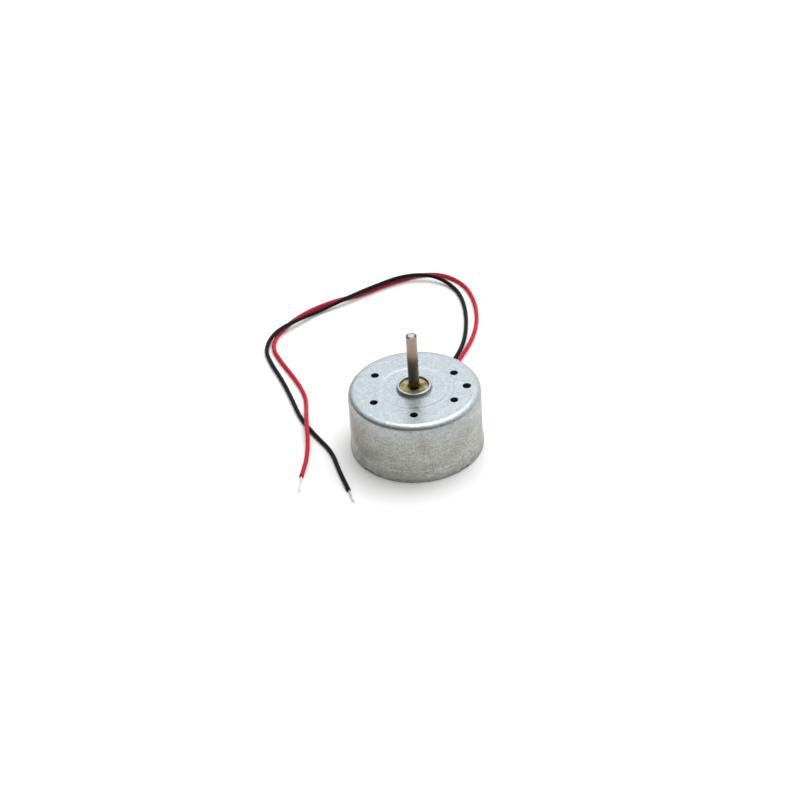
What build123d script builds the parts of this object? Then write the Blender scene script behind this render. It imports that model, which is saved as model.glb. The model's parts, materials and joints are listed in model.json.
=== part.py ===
from build123d import *
from math import cos, pi, radians, sin, tan
import os

# A flat round brushed DC motor: a drawn steel can with a shaft out of its front,
# a plastic end cap with the brushes, a three-pole rotor, and two loose leads.
#
# Frame: millimetres, +Z along the shaft and out of the front. z = 0 is the rear
# rim, on which the motor stands. +X points at the seventh hole of the front plate.

# ---------------------------------------------------------------- driving sizes
CAN_R = 12.2
CAN_H = 12.4
SHEET = 0.8
CORNER_R = 1.15
FLARE_R = 12.38
FLARE_H = 0.8
FLARE_TOP = 2.3
RIM_ROUND = 0.15
FLARE_ROUND = 1.5
CAP_SEAT = 2.1

PANEL_R = 6.3
PANEL_DEPTH = 0.04
BOSS_R = 3.2
BOSS_TOP = CAN_H + 0.7
BOSS_FILLET = 0.08
BOSS_LIP_ROUND = 0.2
PANEL_SLOPE = 0.4

SCREW_HOLES = 6
SCREW_HOLE_R = 0.75
SCREW_CIRCLE_R = 8.4
EXTRA_HOLE_R = 0.8
EXTRA_HOLE_AT = 9.6

CRIMPS = 4
CRIMP_W = 2.0
CRIMP_NOTCH_H = 0.55
CRIMP_REACH = 0.75
CRIMP_GAP = 0.1

SHAFT_R = 1.0
SHAFT_TIP = 23.9
SHAFT_CHAMFER = 0.25
SHAFT_CROWN_W = 0.3
SHAFT_CROWN_H = 0.12
SHAFT_TIP_ROUND = 0.08
SHAFT_FOOT_GAP = 0.03
SHAFT_GROOVE_R = 0.82
SHAFT_GROOVE = (12.4, 13.1)
RUNNING_GAP = 0.02
AXIAL_GAP = 0.05

FRONT_BEARING_R = 2.7
FRONT_BEARING = (10.2, 12.75)
BEARING_SINK_R = 1.15
BEARING_SINK = 0.25
REAR_BEARING_R = 2.2
REAR_BEARING = (1.1, 2.8)
THRUST_PLATE_T = 0.2
BEARING_CHAMFER = 0.15

MAGNET_INNER_R = 9.4
MAGNET = (3.4, 10.8)
MAGNET_SPLIT = 0.5

POLES = 3
POLE_R = 9.0
SHOE_T = 1.0
SHOE_HALF_ANGLE = 54.5
NECK_W = 2.0
HUB_R = 2.6
SHEETS = 6
SHEET_T = 0.5
STACK_LOW = 6.3
INSULATOR_T = 0.3
COIL_END = 0.65
COIL_ROUND = 0.5
WIRE_ROOM = 0.2

WASHER_T = 0.15
FRONT_WASHER_R = 1.9
FRONT_WASHER_LOW = FRONT_BEARING[0] - AXIAL_GAP - WASHER_T
REAR_WASHER_R = 1.7
REAR_WASHER_LOW = REAR_BEARING[1] + AXIAL_GAP
SPACER_R = 1.7

COMMUTATOR_R = 1.8
COMMUTATOR_CORE_R = 1.5
SEGMENT = (3.15, 4.9)
SEGMENT_GAP_ANGLE = 10
TAB_REACH = 3.3
TAB_HALF_W = 0.5
TAB_T = 0.25
BAND_T = 0.35
BAND_H = 0.3
VARISTOR_R = 4.3
VARISTOR_T = 0.4
JOINT_SPOT_AT = 3.75

CAP_GAP = 0.05
CAP_R = FLARE_R - SHEET - CAP_GAP
CAP_LOW = 1.1
CAP_HUB_R = 3.4
CAP_HUB_LOW = 0.4
CAP_HUB_TOP = 2.9
CAP_SKIRT_TOP = 3.3
CAP_SKIRT_T = 0.65
MOULDED_ROUND = 0.1
BRUSH_Z = (3.6, 4.3)
BRUSH_T = 0.12
BRUSH_GAP = 0.06
TERMINAL_T = 0.25

# brush gear: spans across the motor, measured from the axis along the exit line
BLADE_SPAN = (6.0, 7.6)
POST_SPAN = (5.6, 8.0)
POST_T = 1.4
POST_TOP = 4.5
LEAF_SPAN = (-1.3, 7.4)
LEAF_FORK_END = 2.6
LEAF_SLOT = 0.12
DAMPER_SPAN = (2.9, 4.6)
DAMPER_T = 0.5
FOOT_INNER = 0.15

# moulded details of the end cap's outside: lead ribs and a plain plus sign
RIB_X = (1.15, 1.45)
RIB_SPAN = (9.0, 10.9)
RIB_LOW = 0.15
PLUS_CENTRE = (5.2, 7.6)
PLUS_SIZE = 1.6
PLUS_BAR = 0.3
PLUS_PROUD = 0.15

# the leads leave through one notch of the rear rim, at this angle round from +X
EXIT_ANGLE = 78
EXIT_NOTCH_W = 2.5
EXIT_NOTCH_H = 1.0
EXIT_NOTCH_ROUND = 0.35
LEAD_R = 0.4
LEAD_PITCH = 1.06
STRAND_R = 0.17
SOLDER_SPAN = (7.2, 8.6)
SOLDER_HALF_W = 1.45
SOLDER_LOW = 0.12
EXIT_STRAIGHT = 12.6

# Lead routes: points of the centre line, from just outside the rim to the end of
# the insulation. Both leads lie on the floor. Along the far bend the black one rests
# on the red one in a long low hump, comes down, and crosses it again at the left bend.
# At the last crossing the red one humps over the black one.
FLOOR_Z = LEAD_R
HUMP_Z = 1.35
SLOPE_Z = 0.75
RED_ROUTE = [
    (4.7, 16.2, FLOOR_Z),
    (6.4, 21.6, FLOOR_Z),
    (8.8, 27.2, FLOOR_Z),
    (10.9, 33.0, FLOOR_Z),
    (11.8, 39.5, FLOOR_Z),
    (11.2, 46.4, FLOOR_Z),
    (9.1, 52.4, FLOOR_Z),
    (4.6, 56.3, FLOOR_Z),
    (-0.7, 56.2, FLOOR_Z),
    (-6.2, 53.4, FLOOR_Z),
    (-12.0, 49.6, FLOOR_Z),
    (-18.2, 47.3, FLOOR_Z),
    (-24.0, 42.9, FLOOR_Z),
    (-27.9, 37.2, FLOOR_Z),
    (-29.1, 31.8, FLOOR_Z),
    (-26.8, 26.4, FLOOR_Z),
    (-23.9, 20.9, FLOOR_Z),
    (-21.6, 15.3, FLOOR_Z),
    (-21.2, 11.2, FLOOR_Z),
    (-20.95, 7.0, HUMP_Z),
    (-20.6, 3.2, HUMP_Z),
    (-20.3, -1.0, SLOPE_Z),
    (-20.4, -4.6, FLOOR_Z),
    (-20.75, -7.4, FLOOR_Z),
    (-21.1, -9.8, FLOOR_Z),
]
BLACK_ROUTE = [
    (3.6, 16.2, FLOOR_Z),
    (5.2, 21.6, FLOOR_Z),
    (7.7, 26.8, FLOOR_Z),
    (9.2, 32.4, FLOOR_Z),
    (9.6, 39.4, FLOOR_Z),
    (9.0, 46.2, FLOOR_Z),
    (7.2, 51.3, FLOOR_Z),
    (2.9, 54.7, HUMP_Z),
    (-3.0, 54.8, HUMP_Z),
    (-8.5, 51.6, HUMP_Z),
    (-14.6, 47.2, HUMP_Z),
    (-20.5, 43.9, FLOOR_Z),
    (-24.7, 39.6, HUMP_Z),
    (-28.8, 35.6, HUMP_Z),
    (-30.4, 31.2, FLOOR_Z),
    (-29.0, 26.5, FLOOR_Z),
    (-26.4, 20.6, FLOOR_Z),
    (-24.2, 14.4, FLOOR_Z),
    (-22.1, 7.7, FLOOR_Z),
    (-19.0, 2.2, FLOOR_Z),
    (-15.75, -2.8, FLOOR_Z),
    (-14.2, -8.8, FLOOR_Z),
    (-12.3, -14.3, FLOOR_Z),
]
RED_STRANDS = [(-21.14, -11.0, 0.4), (-21.2, -12.6, 0.28), (-21.3, -14.1, 0.2)]
BLACK_STRANDS = [(-11.95, -15.3, 0.4), (-11.75, -16.5, 0.28), (-11.1, -17.6, 0.2)]

SEAT = (Align.CENTER, Align.CENTER, Align.MIN)
EDGE = (Align.MIN, Align.MIN, Align.MIN)


# ---------------------------------------------------------------- shared shapes
def disc(radius, low, high):
    """A round bar on the motor's axis, from one height to another."""
    return Pos(0, 0, low) * Cylinder(radius, high - low, align=SEAT)


def ring(outer, inner, low, high):
    """A flat ring on the motor's axis."""
    return disc(outer, low, high) - disc(inner, low - 1, high + 1)


def block(x, y, z):
    """A box given by its (low, high) along each axis."""
    size = Box(x[1] - x[0], y[1] - y[0], z[1] - z[0], align=EDGE)
    return Pos(x[0], y[0], z[0]) * size


def turned(*outline):
    """A body of revolution. Each corner of its half section is (radius, height, rounding)."""
    corners = [(r, 0, z) for r, z, _ in outline]
    path = FilletPolyline(*corners, radius=[c for _, _, c in outline], close=True)
    return revolve(make_face(path), Axis.Z)


def wedge(half_angle, reach=30):
    """A flat wedge from the axis, open towards +X, for cutting arcs out of rings."""
    x, y = reach * cos(radians(half_angle)), reach * sin(radians(half_angle))
    return make_face(Polyline((0, 0), (x, -y), (reach, -y), (reach, y), (x, y), close=True))


def arc_block(outer, inner, low, high, half_angle):
    """A piece of a ring, centred on +X."""
    flat = (Circle(outer) - Circle(inner)) & wedge(half_angle)
    return Pos(0, 0, low) * extrude(flat, high - low)


def around(shape, count, start=0):
    """Copies of a shape spaced evenly round the axis."""
    return [Rot(0, 0, start + 360 * i / count) * shape for i in range(count)]


def at_exit(shape):
    """Turns a shape made with the leads along +Y to the angle where they leave."""
    return Rot(0, 0, EXIT_ANGLE - 90) * shape


def sided(side, near, far):
    """The (low, high) of a span on one side of the exit line, from its two distances."""
    return sorted((side * near, side * far))


def exit_point(x, y, z):
    """The same turn for one point."""
    turn = radians(EXIT_ANGLE - 90)
    return (x * cos(turn) - y * sin(turn), x * sin(turn) + y * cos(turn), z)


# ---------------------------------------------------------------- stator
def housing_can():
    """The drawn can: front plate with its boss, wall, flared rear rim with folded crimps."""
    inner_r = CAN_R - SHEET
    pocket_r = FLARE_R - SHEET
    plate_low = CAN_H - SHEET
    panel_low = CAN_H - PANEL_DEPTH
    shell = turned(
        (pocket_r, 0, 0),
        (FLARE_R, 0, RIM_ROUND),
        (FLARE_R, FLARE_H, FLARE_ROUND),
        (CAN_R, FLARE_TOP, FLARE_ROUND),
        (CAN_R, CAN_H, CORNER_R),
        (PANEL_R + PANEL_SLOPE / 2, CAN_H, 0),
        (PANEL_R - PANEL_SLOPE / 2, panel_low, 0),
        (BOSS_R, panel_low, BOSS_FILLET),
        (BOSS_R, BOSS_TOP, BOSS_LIP_ROUND),
        (FRONT_BEARING_R, BOSS_TOP, BOSS_LIP_ROUND / 2),
        (FRONT_BEARING_R, plate_low, 0),
        (inner_r, plate_low, CORNER_R - SHEET),
        (inner_r, CAP_SEAT, 0),
        (pocket_r, CAP_SEAT, 0),
    )
    screw_hole = Pos(SCREW_CIRCLE_R, 0, 0) * disc(SCREW_HOLE_R, plate_low - 1, CAN_H + 1)
    for hole in around(screw_hole, SCREW_HOLES, start=30):
        shell -= hole
    shell -= Pos(EXTRA_HOLE_AT, 0, 0) * disc(EXTRA_HOLE_R, plate_low - 1, CAN_H + 1)

    across = (pocket_r - 1, FLARE_R + 1)
    notch = block(across, (-CRIMP_W / 2, CRIMP_W / 2), (-1, CRIMP_NOTCH_H))
    half_tongue = CRIMP_W / 2 - CRIMP_GAP
    reach = (pocket_r - CRIMP_REACH, pocket_r + SHEET / 2)
    tongue = block(reach, (-half_tongue, half_tongue), (CRIMP_NOTCH_H, CAP_LOW))
    for cut, fold in zip(around(notch, CRIMPS, start=45), around(tongue, CRIMPS, start=45)):
        shell = shell - cut + fold

    half = EXIT_NOTCH_W / 2
    mouth = block((-half, half), across, (-1, EXIT_NOTCH_H))
    mouth = fillet(mouth.edges().filter_by(Axis.Y).group_by(Axis.Z)[-1], EXIT_NOTCH_ROUND)
    return shell - at_exit(mouth)


def front_bearing():
    """Sintered sleeve bearing, pressed into the boss, with a sunk mouth round the shaft."""
    low, high = FRONT_BEARING
    bore = SHAFT_R + RUNNING_GAP
    return turned(
        (bore, low, 0),
        (FRONT_BEARING_R - BEARING_CHAMFER, low, 0),
        (FRONT_BEARING_R, low + BEARING_CHAMFER, 0),
        (FRONT_BEARING_R, high - BEARING_CHAMFER, 0),
        (FRONT_BEARING_R - BEARING_CHAMFER, high, 0),
        (BEARING_SINK_R, high, 0),
        (bore, high - BEARING_SINK, 0),
    )


def rear_bearing():
    """The smaller sleeve bearing in the end cap's hub."""
    low, high = REAR_BEARING
    bore = SHAFT_R + RUNNING_GAP
    return turned(
        (bore + BEARING_CHAMFER, low, 0),
        (REAR_BEARING_R, low, 0),
        (REAR_BEARING_R, high - BEARING_CHAMFER, 0),
        (REAR_BEARING_R - BEARING_CHAMFER, high, 0),
        (bore + BEARING_CHAMFER, high, 0),
        (bore, high - BEARING_CHAMFER, 0),
        (bore, low + BEARING_CHAMFER, 0),
    )


def thrust_plate():
    """Hard disc under the shaft's end, at the bottom of the hub."""
    return disc(REAR_BEARING_R - 0.1, REAR_BEARING[0] - THRUST_PLATE_T, REAR_BEARING[0])


def ring_magnet():
    """Rubber-bonded magnet strip rolled into a ring against the can's wall, with a split."""
    low, high = MAGNET
    body = ring(CAN_R - SHEET, MAGNET_INNER_R, low, high)
    split = (-MAGNET_SPLIT / 2, MAGNET_SPLIT / 2)
    return body - at_exit(block(split, (-CAN_R, -MAGNET_INNER_R + 1), (low - 1, high + 1)))


def blade_x():
    """The (inner, outer) faces of a terminal's blade, measured from the exit line."""
    inner = COMMUTATOR_R + BRUSH_GAP + BRUSH_T
    return inner, inner + TERMINAL_T


def end_cap():
    """Moulded cap that closes the can, seats the rear bearing and carries the brushes."""
    skirt_r = CAN_R - SHEET - CAP_GAP
    bearing_floor = REAR_BEARING[0] - THRUST_PLATE_T
    body = turned(
        (0, CAP_HUB_LOW, 0),
        (CAP_HUB_R, CAP_HUB_LOW, MOULDED_ROUND),
        (CAP_HUB_R, CAP_LOW, MOULDED_ROUND),
        (CAP_R, CAP_LOW, MOULDED_ROUND),
        (CAP_R, CAP_SEAT, 0),
        (skirt_r, CAP_SEAT, 0),
        (skirt_r, CAP_SKIRT_TOP, MOULDED_ROUND),
        (skirt_r - CAP_SKIRT_T, CAP_SKIRT_TOP, MOULDED_ROUND),
        (skirt_r - CAP_SKIRT_T, CAP_SEAT, 0),
        (CAP_HUB_R, CAP_SEAT, 0),
        (CAP_HUB_R, CAP_HUB_TOP, MOULDED_ROUND),
        (REAR_BEARING_R, CAP_HUB_TOP, 0),
        (REAR_BEARING_R, bearing_floor, 0),
        (0, bearing_floor, 0),
    )
    inner, outer = blade_x()
    for side in (1, -1):
        body += at_exit(block(sided(side, outer, outer + POST_T), POST_SPAN, (CAP_SEAT - 0.1, POST_TOP)))
        body -= at_exit(block(sided(side, inner, outer), BLADE_SPAN, (CAP_LOW - 1, CAP_SEAT + 1)))
        body += at_exit(block(sided(side, *RIB_X), RIB_SPAN, (RIB_LOW, CAP_LOW + 0.1)))
    for across, along in ((PLUS_SIZE, PLUS_BAR), (PLUS_BAR, PLUS_SIZE)):
        bar = Box(across, along, PLUS_PROUD + 0.1, align=SEAT)
        body += at_exit(Pos(*PLUS_CENTRE, CAP_LOW - PLUS_PROUD) * bar)
    return body


def terminal(side):
    """Bent sheet terminal: a blade up through the cap and a foot under it for the solder."""
    inner, outer = blade_x()
    low = CAP_LOW - TERMINAL_T
    blade = block(sided(side, inner, outer), BLADE_SPAN, (low, BRUSH_Z[1]))
    foot = block(sided(side, FOOT_INNER, outer), (BLADE_SPAN[0], SOLDER_SPAN[1]), (low, CAP_LOW))
    return at_exit(blade + foot)


def solder_joint(side):
    """Solder between a terminal's foot and the end of its lead."""
    x = sided(side, FOOT_INNER, SOLDER_HALF_W)
    blob = block(x, SOLDER_SPAN, (SOLDER_LOW, CAP_LOW - TERMINAL_T))
    blob = fillet(blob.edges().filter_by(Axis.Z), 0.25)
    return at_exit(fillet(blob.faces().sort_by(Axis.Z)[0].edges(), 0.22))


def brush_arm(side):
    """Thin spring leaf with a forked end that lies beside the commutator."""
    inner = COMMUTATOR_R + BRUSH_GAP
    middle = sum(BRUSH_Z) / 2
    slot_z = (middle - LEAF_SLOT / 2, middle + LEAF_SLOT / 2)
    leaf = block(sided(side, inner, inner + BRUSH_T), LEAF_SPAN, BRUSH_Z)
    slot = block((-inner - 1, inner + 1), (LEAF_SPAN[0] - 1, LEAF_FORK_END), slot_z)
    return at_exit(leaf - slot)


def brush_damper(side):
    """Small rubber pad that quiets a brush leaf."""
    face = COMMUTATOR_R + BRUSH_GAP + BRUSH_T
    pad = block(sided(side, face, face + DAMPER_T), DAMPER_SPAN, BRUSH_Z)
    return at_exit(fillet(pad.edges().filter_by(Axis.Z), 0.1))


# ---------------------------------------------------------------- rotor
def shaft():
    """Ground steel shaft with a chamfered foot, a crowned tip and an oil groove at the front."""
    foot = REAR_BEARING[0] + SHAFT_FOOT_GAP
    low, high = SHAFT_GROOVE
    foot_r = SHAFT_R - SHAFT_CHAMFER
    return turned(
        (0, foot, 0),
        (foot_r, foot, 0),
        (SHAFT_R, foot + SHAFT_CHAMFER, 0),
        (SHAFT_R, low, 0),
        (SHAFT_GROOVE_R, low, 0),
        (SHAFT_GROOVE_R, high, 0),
        (SHAFT_R, high, 0),
        (SHAFT_R, SHAFT_TIP - SHAFT_CROWN_H, 0),
        (SHAFT_R - SHAFT_CROWN_W, SHAFT_TIP, SHAFT_TIP_ROUND),
        (0, SHAFT_TIP, 0),
    )


def pole_plan(hub_r, neck_w, reach):
    """The flat star of a three-pole rotor: a hub and its necks, with a hole for the shaft."""
    star = Circle(hub_r)
    for neck in around(Pos(reach / 2, 0) * Rectangle(reach, neck_w), POLES):
        star += neck
    return star - Circle(SHAFT_R)


def rotor_laminations():
    """The stack of punched sheets, each its own solid."""
    shoe = (Circle(POLE_R) - Circle(POLE_R - SHOE_T)) & wedge(SHOE_HALF_ANGLE)
    plan = pole_plan(HUB_R, NECK_W, POLE_R - SHOE_T / 2)
    for tip in around(shoe, POLES):
        plan += tip
    sheet = extrude(plan, SHEET_T)
    return Compound([Pos(0, 0, STACK_LOW + i * SHEET_T) * sheet for i in range(SHEETS)])


def insulator(low):
    """Thin insulating star between the stack's end and the windings."""
    plan = pole_plan(HUB_R + WIRE_ROOM, NECK_W + 2 * WIRE_ROOM, POLE_R - SHOE_T - 0.1)
    return Pos(0, 0, low) * extrude(plan, INSULATOR_T)


def stack_high():
    """The top of the lamination stack."""
    return STACK_LOW + SHEETS * SHEET_T


def coil():
    """One winding round the neck on +X, wider outwards, with rounded end turns."""
    low = STACK_LOW - INSULATOR_T
    high = stack_high() + INSULATOR_T
    half = [(3.3, 1.6), (3.6, 2.4), (4.7, 3.6), (6.0, 4.2), (6.7, 3.8), (7.3, 2.6)]
    outline = half + [(x, -y) for x, y in reversed(half)]
    plan = make_face(Polyline(*outline, close=True))
    body = Pos(0, 0, low - COIL_END) * extrude(plan, high - low + 2 * COIL_END)
    body = fillet(body.faces().sort_by(Axis.Z)[-1].edges(), COIL_ROUND)
    body = fillet(body.faces().sort_by(Axis.Z)[0].edges(), COIL_ROUND)
    inside = NECK_W / 2 + WIRE_ROOM
    return body - block((0, POLE_R), (-inside, inside), (low, high))


def commutator_core():
    """Moulded sleeve on the shaft that carries the commutator's segments."""
    flange_high = STACK_LOW - INSULATOR_T
    sleeve = ring(COMMUTATOR_CORE_R, SHAFT_R, SEGMENT[0] - 0.1, flange_high)
    return sleeve + ring(HUB_R, SHAFT_R, SEGMENT[1], flange_high)


def commutator_segment():
    """One copper segment on +X, with a tab out to its coil's wire."""
    low, high = SEGMENT
    half = 180 / POLES - SEGMENT_GAP_ANGLE / 2
    shell = arc_block(COMMUTATOR_R, COMMUTATOR_CORE_R, low, high, half)
    return shell + block((COMMUTATOR_R - 0.1, TAB_REACH), (-TAB_HALF_W, TAB_HALF_W), (high - TAB_T, high))


def commutator_ring():
    """Plastic band that holds the segments' free ends down."""
    return ring(COMMUTATOR_R + BAND_T, COMMUTATOR_R, SEGMENT[0], SEGMENT[0] + BAND_H)


def varistor_ring():
    """Ceramic ring that stops sparks, behind the segments' tabs."""
    return ring(VARISTOR_R, HUB_R, SEGMENT[1], SEGMENT[1] + VARISTOR_T)


def commutator_solder():
    """The three solder spots that join tabs, varistor and wires."""
    spot = Cone(0.3, 0.42, 0.35, align=(Align.CENTER, Align.CENTER, Align.MAX))
    return Compound(around(Pos(JOINT_SPOT_AT, 0, SEGMENT[1]) * spot, POLES, start=60))


def spacer_sleeve():
    """Spacer between the rotor stack and the front washer."""
    return ring(SPACER_R, SHAFT_R, stack_high() + INSULATOR_T, FRONT_WASHER_LOW)


def thrust_washer(low, outer):
    """Thin slippery washer on the shaft."""
    return ring(outer, SHAFT_R, low, low + WASHER_T)


# ---------------------------------------------------------------- leads
def corner_radii(route):
    """For each corner of a route, the largest arc that its two runs leave room for."""
    points = [Vector(*p) for p in route]
    radii = []
    for before, here, after in zip(points, points[1:], points[2:]):
        run_in, run_out = here - before, after - here
        half_turn = radians(run_in.get_angle(run_out)) / 2
        radii.append(0.45 * min(run_in.length, run_out.length) / tan(half_turn))
    return radii


def tube(name, route, radius):
    """A round tube along straight runs joined by tangent arcs."""
    radii = corner_radii(route)
    path = FilletPolyline(*route, radius=radii)
    section = Plane(origin=path @ 0, z_dir=path % 0) * Circle(radius)
    body = sweep(section, path=path)
    ratio = body.volume / (pi * radius**2 * path.length)
    print(f"{name}: length {path.length:.1f}, smallest arc {min(radii):.1f}, volume ratio {ratio:.3f}")
    return body


def whole_route(side, route):
    """A lead's route with its first stretch: from the solder straight out of the notch."""
    x = side * LEAD_PITCH / 2
    return [exit_point(x, SOLDER_SPAN[1], FLOOR_Z), exit_point(x, EXIT_STRAIGHT, FLOOR_Z)] + route


def lead(name, side, route):
    """The insulated length of one lead."""
    return tube(name, whole_route(side, route), LEAD_R)


def strands(name, route, bends):
    """The bare tinned end of a lead, resting its tip on the floor."""
    return tube(name, [route[-1]] + bends, STRAND_R)


# ---------------------------------------------------------------- all pieces
def pieces():
    """Every piece of the motor, by its node's name."""
    made = {
        "housing_can": housing_can(),
        "front_bearing": front_bearing(),
        "rear_bearing": rear_bearing(),
        "thrust_plate": thrust_plate(),
        "ring_magnet": ring_magnet(),
        "end_cap": end_cap(),
        "shaft": shaft(),
        "rotor_laminations": rotor_laminations(),
        "front_insulator": insulator(stack_high()),
        "rear_insulator": insulator(STACK_LOW - INSULATOR_T),
        "commutator_core": commutator_core(),
        "commutator_ring": commutator_ring(),
        "varistor_ring": varistor_ring(),
        "commutator_solder": commutator_solder(),
        "spacer_sleeve": spacer_sleeve(),
        "front_thrust_washer": thrust_washer(FRONT_WASHER_LOW, FRONT_WASHER_R),
        "rear_thrust_washer": thrust_washer(REAR_WASHER_LOW, REAR_WASHER_R),
    }
    for letter, winding, segment in zip(
        "abc", around(coil(), POLES), around(commutator_segment(), POLES, start=60)
    ):
        made[f"coil_{letter}"] = winding
        made[f"commutator_segment_{letter}"] = segment
    for pole, side in (("positive", 1), ("negative", -1)):
        made[f"{pole}_terminal"] = terminal(side)
        made[f"{pole}_brush_arm"] = brush_arm(side)
        made[f"{pole}_brush_damper"] = brush_damper(side)
        made[f"{pole}_solder_joint"] = solder_joint(side)
    made["red_lead"] = lead("red_lead", 1, RED_ROUTE)
    made["black_lead"] = lead("black_lead", -1, BLACK_ROUTE)
    made["red_lead_strands"] = strands("red_lead_strands", RED_ROUTE, RED_STRANDS)
    made["black_lead_strands"] = strands("black_lead_strands", BLACK_ROUTE, BLACK_STRANDS)
    return made


os.makedirs("parts", exist_ok=True)
for node, shape in pieces().items():
    export_step(shape, f"parts/{node}.step")
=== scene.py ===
"""A flat brushed DC motor with two loose leads: its finishes, wires and studio.

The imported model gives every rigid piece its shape. This script dresses those
pieces, and builds the ones that are wire, wound or soldered: the insulated
leads, their bare ends, the three windings and the two solder joints.
Lengths are metres, apart from those in the finishes and in values whose names
end in _mm, which are millimetres.
"""

import json
import logging
import math
from dataclasses import dataclass
from enum import Enum

import bpy
import numpy as np
from mathutils import Matrix, Vector


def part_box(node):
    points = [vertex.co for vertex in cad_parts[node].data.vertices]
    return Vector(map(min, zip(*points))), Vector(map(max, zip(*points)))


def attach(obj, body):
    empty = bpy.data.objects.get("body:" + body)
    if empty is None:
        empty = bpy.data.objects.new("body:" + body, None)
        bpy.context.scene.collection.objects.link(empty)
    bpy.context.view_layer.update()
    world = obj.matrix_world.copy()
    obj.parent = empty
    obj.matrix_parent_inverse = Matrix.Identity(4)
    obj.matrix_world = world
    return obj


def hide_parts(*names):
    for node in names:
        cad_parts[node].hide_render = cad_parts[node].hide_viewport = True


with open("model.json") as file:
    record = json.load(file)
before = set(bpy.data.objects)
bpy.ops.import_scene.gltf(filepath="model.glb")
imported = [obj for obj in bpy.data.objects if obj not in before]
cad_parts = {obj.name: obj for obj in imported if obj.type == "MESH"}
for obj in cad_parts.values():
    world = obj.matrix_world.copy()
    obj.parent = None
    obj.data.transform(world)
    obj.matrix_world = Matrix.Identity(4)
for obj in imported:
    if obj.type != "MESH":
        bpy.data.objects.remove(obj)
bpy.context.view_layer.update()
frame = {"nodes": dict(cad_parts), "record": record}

MM = 0.001
LOG = logging.getLogger("motor")

UP = (0.0, 0.0, 1.0)
SPLINE_STEPS = 24  # points that Blender works out between two controls of a lead's route

Triple = tuple[float, float, float]
Colour = Triple
Route = list[Triple]
Socket = bpy.types.NodeSocket


# ------------------------------------------------------------------ mesh building
@dataclass
class Shape:
    """A surface under construction: its points, its faces and their corners on the UV map."""

    points: np.ndarray
    quads: np.ndarray
    triangles: np.ndarray
    quad_uv: np.ndarray
    triangle_uv: np.ndarray

    def joined(self, other: "Shape") -> "Shape":
        """Puts two surfaces into one.

        Args:
            other: The surface to add.

        Returns:
            A surface with the points and faces of both.
        """
        shift = len(self.points)
        return Shape(
            np.concatenate([self.points, other.points]),
            np.concatenate([self.quads, other.quads + shift]),
            np.concatenate([self.triangles, other.triangles + shift]),
            np.concatenate([self.quad_uv, other.quad_uv]),
            np.concatenate([self.triangle_uv, other.triangle_uv]),
        )

    def to_object(
        self, name: str, material: bpy.types.Material, sharp_deg: float = 40.0
    ) -> bpy.types.Object:
        """Makes the surface a mesh object at the origin, smooth apart from its sharp edges.

        Args:
            name: The piece's name.
            material: Its finish.
            sharp_deg: An edge whose faces turn by more than this stays sharp.

        Returns:
            The linked object.
        """
        mesh = bpy.data.meshes.new(name)
        mesh.from_pydata(self.points.tolist(), [], self.quads.tolist() + self.triangles.tolist())
        corners = np.concatenate([self.quad_uv.reshape(-1, 2), self.triangle_uv.reshape(-1, 2)])
        uv_map = mesh.uv_layers.new(name="UVMap")
        uv_map.uv.foreach_set("vector", corners.astype(np.float32).ravel())
        mesh.polygons.foreach_set("use_smooth", np.ones(len(mesh.polygons), bool))
        mesh.set_sharp_from_angle(angle=math.radians(sharp_deg))
        mesh.materials.append(material)
        mesh.validate()
        piece = bpy.data.objects.new(name, mesh)
        bpy.context.scene.collection.objects.link(piece)
        return piece


class Ends(Enum):
    """How a row of rings is finished."""

    CLOSED = "each end filled to its middle"
    LOOP = "the last ring joined to the first"


def lattice(rings: np.ndarray, ends: Ends = Ends.CLOSED) -> Shape:
    """Skins a row of rings. Each ring's points run anticlockwise about the direction of travel,
    so that the faces point outwards: face (i, j) joins points j and j + 1 of rings i and i + 1.

    Args:
        rings: Points of shape (number of rings, points round a ring, 3).
        ends: Whether the ends are filled or joined.

    Returns:
        The closed surface, with U along the row and V round it, both from 0 to 1.
    """
    count, round_count = rings.shape[:2]
    steps = count if ends is Ends.LOOP else count - 1
    i, j = np.meshgrid(np.arange(steps), np.arange(round_count), indexing="ij")
    i, j = i.ravel(), j.ravel()
    after_i, after_j = (i + 1) % count, (j + 1) % round_count
    quads = np.stack(
        [
            i * round_count + j,
            i * round_count + after_j,
            after_i * round_count + after_j,
            after_i * round_count + j,
        ],
        1,
    )
    u, u_next = i / steps, (i + 1) / steps
    v, v_next = j / round_count, (j + 1) / round_count
    corners = ((u, v), (u, v_next), (u_next, v_next), (u_next, v))
    quad_uv = np.stack([np.stack(corner, -1) for corner in corners], 1)
    points = rings.reshape(-1, 3)
    if ends is Ends.LOOP:
        return Shape(points, quads, np.zeros((0, 3), int), quad_uv, np.zeros((0, 3, 2)))
    first, last = len(points), len(points) + 1
    here, there = np.arange(round_count), (np.arange(round_count) + 1) % round_count
    back = (count - 1) * round_count
    triangles = np.concatenate(
        [
            np.stack([np.full(round_count, first), there, here], 1),
            np.stack([np.full(round_count, last), back + here, back + there], 1),
        ]
    )
    triangle_uv = np.concatenate(
        [np.full((round_count, 3, 2), (0.0, 0.5)), np.full((round_count, 3, 2), (1.0, 0.5))]
    )
    middles = np.stack([rings[0].mean(0), rings[-1].mean(0)])
    return Shape(np.concatenate([points, middles]), quads, triangles, quad_uv, triangle_uv)


def unit(vectors: np.ndarray) -> np.ndarray:
    """Vectors scaled to length one."""
    return vectors / np.linalg.norm(vectors, axis=-1, keepdims=True)


def sides_of(line: np.ndarray) -> tuple[np.ndarray, np.ndarray]:
    """The directions across a line that lies nearly flat.

    Args:
        line: Points of shape (number, 3).

    Returns:
        The line's left-hand side and its upper side at each point, as unit vectors.
    """
    travel = unit(np.gradient(line, axis=0))
    left = unit(np.cross(UP, travel))
    return left, np.cross(travel, left)


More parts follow.
